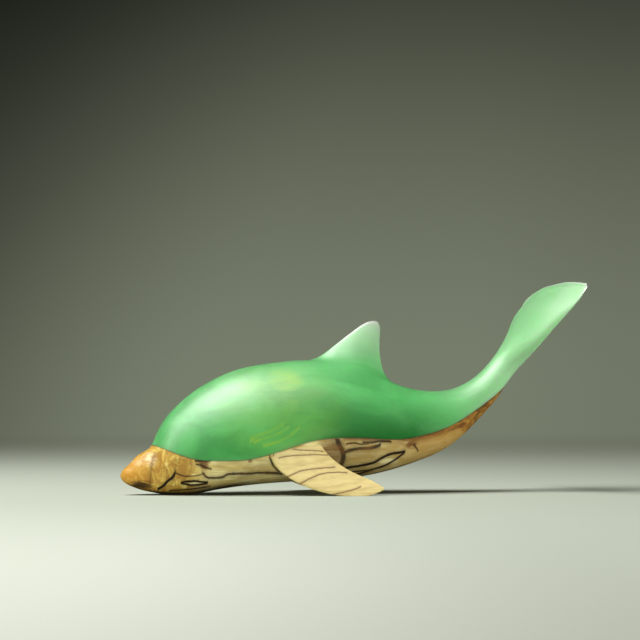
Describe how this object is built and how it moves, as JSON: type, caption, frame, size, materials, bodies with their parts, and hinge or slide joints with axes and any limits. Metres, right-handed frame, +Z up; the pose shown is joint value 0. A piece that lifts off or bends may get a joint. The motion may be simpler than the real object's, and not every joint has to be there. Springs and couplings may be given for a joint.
{
  "type": "dolphin sculpture",
  "caption": "Diving dolphin figurine of cloudy green resin over spalted wood, resting on its chin and the edges of its side flippers.",
  "frame": {"origin": "middle of the footprint of the bounding box, on the surface that the figure stands on", "axes": "+X from the beak towards the tail, +Y towards the figure's right side, +Z up"},
  "size_m": [0.2484, 0.0984, 0.1159],
  "materials": {
    "green_resin": "satin cast resin, cloudy and slightly see-through",
    "spalted_wood": "smooth satin, straw and orange with dark spalting lines",
    "pale_wood": "smooth satin, pale cream with thin brown lines"
  },
  "bodies": {
    "root": {"resin_back": "green_resin", "wood_belly": "spalted_wood", "left_flipper": "pale_wood", "right_flipper": "pale_wood"}
  },
  "joints": []
}
